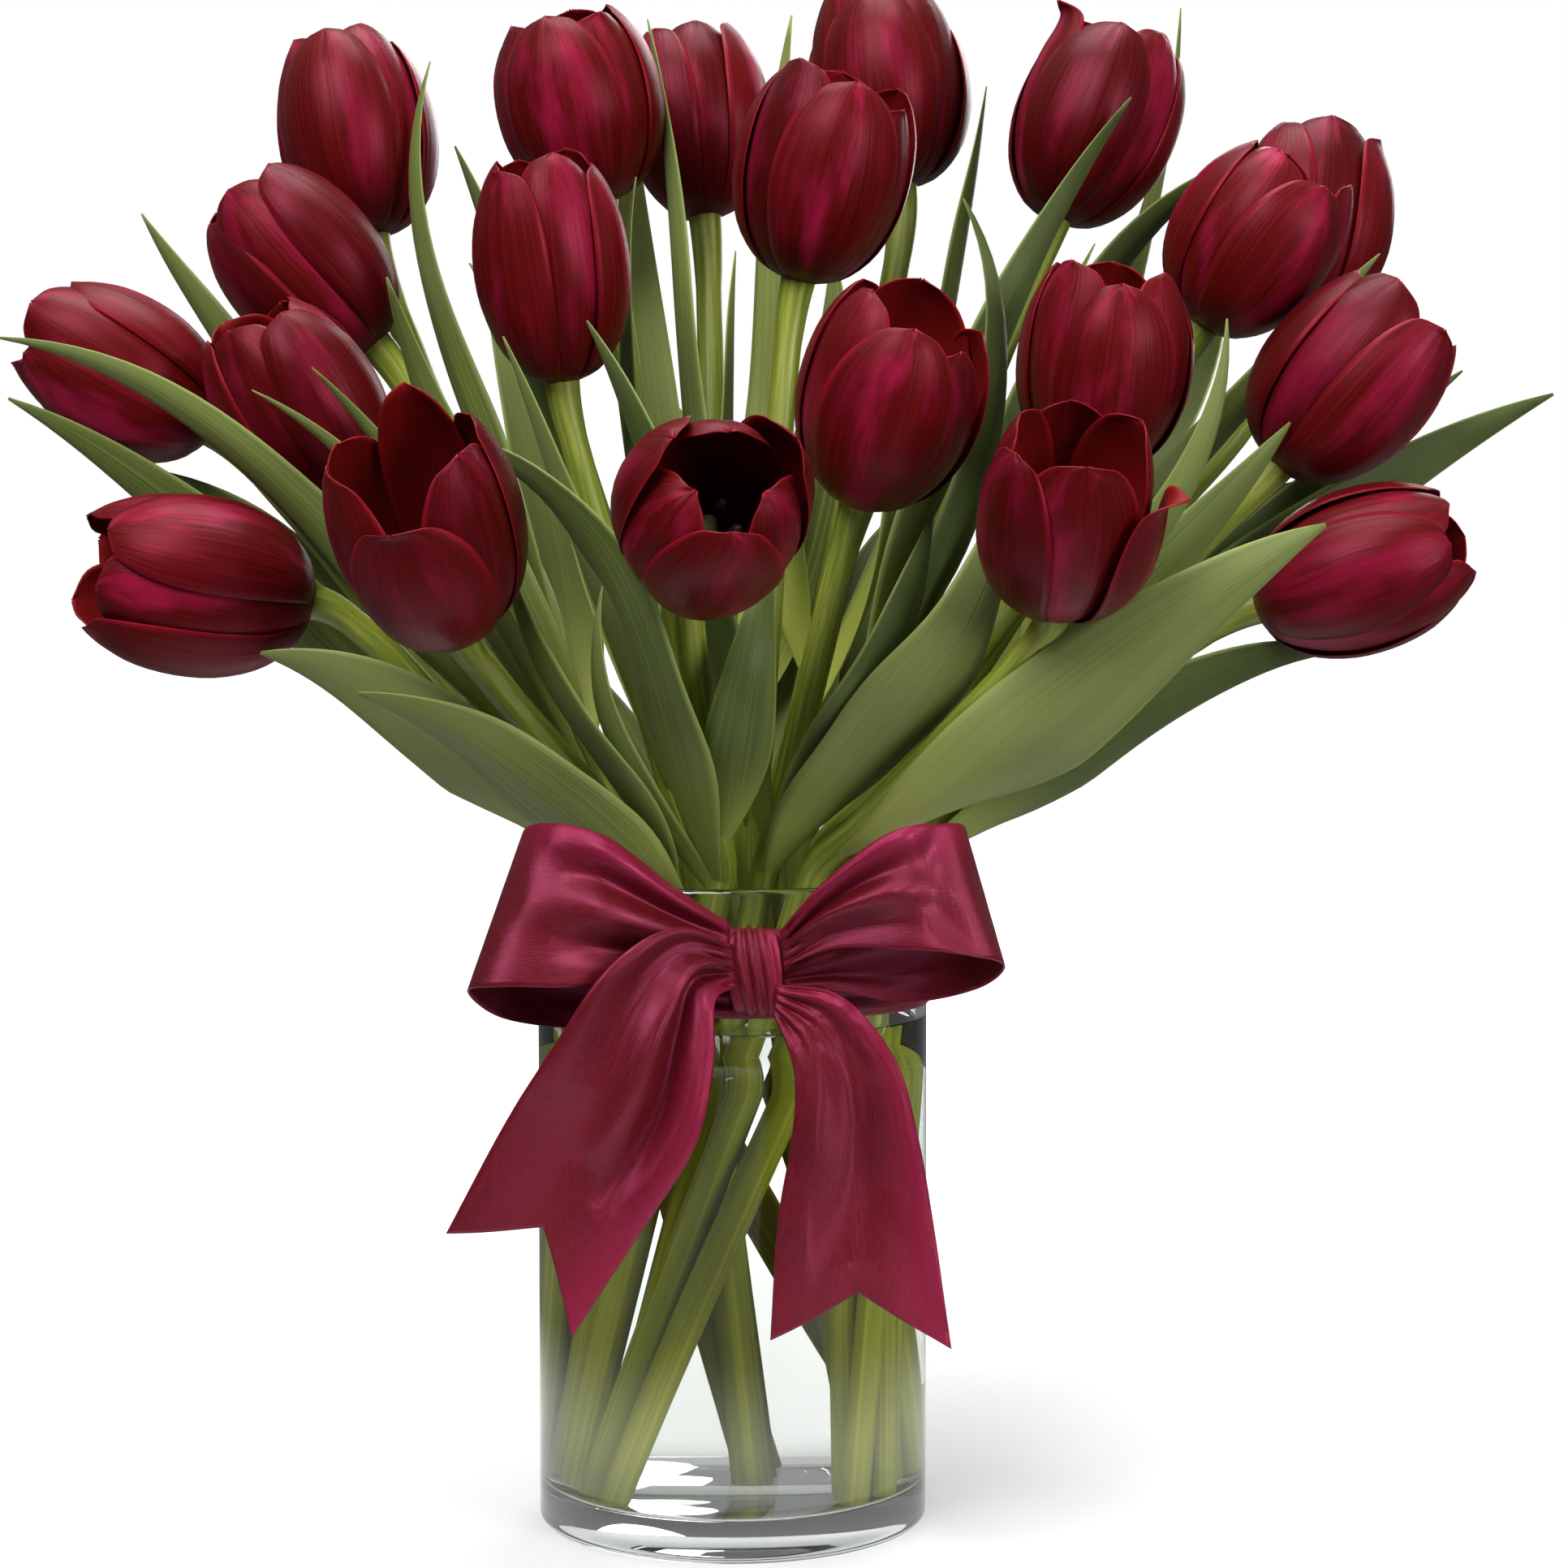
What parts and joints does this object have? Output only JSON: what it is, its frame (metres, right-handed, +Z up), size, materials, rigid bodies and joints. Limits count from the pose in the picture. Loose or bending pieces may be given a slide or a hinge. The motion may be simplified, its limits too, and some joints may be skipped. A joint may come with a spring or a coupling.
{
  "type": "tulip bouquet in a glass vase",
  "caption": "Round bunch of dark red tulips with their leaves, standing in water in a clear cylinder vase with a wide satin ribbon tied round it in a bow.",
  "frame": {"origin": "centre of the vase's flat underside", "axes": "+Z up along the vase's axis, -Y towards the bow and the viewer, +X to the viewer's right"},
  "size_m": [0.4375, 0.2618, 0.4503],
  "materials": {
    "glass": "clear polished",
    "water": "still clear water",
    "petal": "dark red petal with a magenta sheen",
    "leaf": "waxy grey-green leaf and yellow-green stem",
    "ribbon": "satin"
  },
  "bodies": {
    "root": {"vase": "glass", "water": "water", "ribbon_band": "ribbon", "bow_knot": "ribbon", "bow_loop_left": "ribbon", "bow_loop_right": "ribbon", "bow_tail_left": "ribbon", "bow_tail_right": "ribbon", "tulip_01_bloom": "petal", "tulip_02_bloom": "petal", "tulip_03_bloom": "petal", "tulip_04_bloom": "petal", "tulip_05_bloom": "petal", "tulip_06_bloom": "petal", "tulip_07_bloom": "petal", "tulip_08_bloom": "petal", "tulip_09_bloom": "petal", "tulip_10_bloom": "petal", "tulip_11_bloom": "petal", "tulip_12_bloom": "petal", "tulip_13_bloom": "petal", "tulip_14_bloom": "petal", "tulip_15_bloom": "petal", "tulip_16_bloom": "petal", "tulip_17_bloom": "petal", "tulip_18_bloom": "petal", "tulip_19_bloom": "petal", "tulip_20_bloom": "petal", "tulip_01_stem": "leaf", "tulip_02_stem": "leaf", "tulip_03_stem": "leaf", "tulip_04_stem": "leaf", "tulip_05_stem": "leaf", "tulip_06_stem": "leaf", "tulip_07_stem": "leaf", "tulip_08_stem": "leaf", "tulip_09_stem": "leaf", "tulip_10_stem": "leaf", "tulip_11_stem": "leaf", "tulip_12_stem": "leaf", "tulip_13_stem": "leaf", "tulip_14_stem": "leaf", "tulip_15_stem": "leaf", "tulip_16_stem": "leaf", "tulip_17_stem": "leaf", "tulip_18_stem": "leaf", "tulip_19_stem": "leaf", "tulip_20_stem": "leaf"}
  },
  "joints": []
}
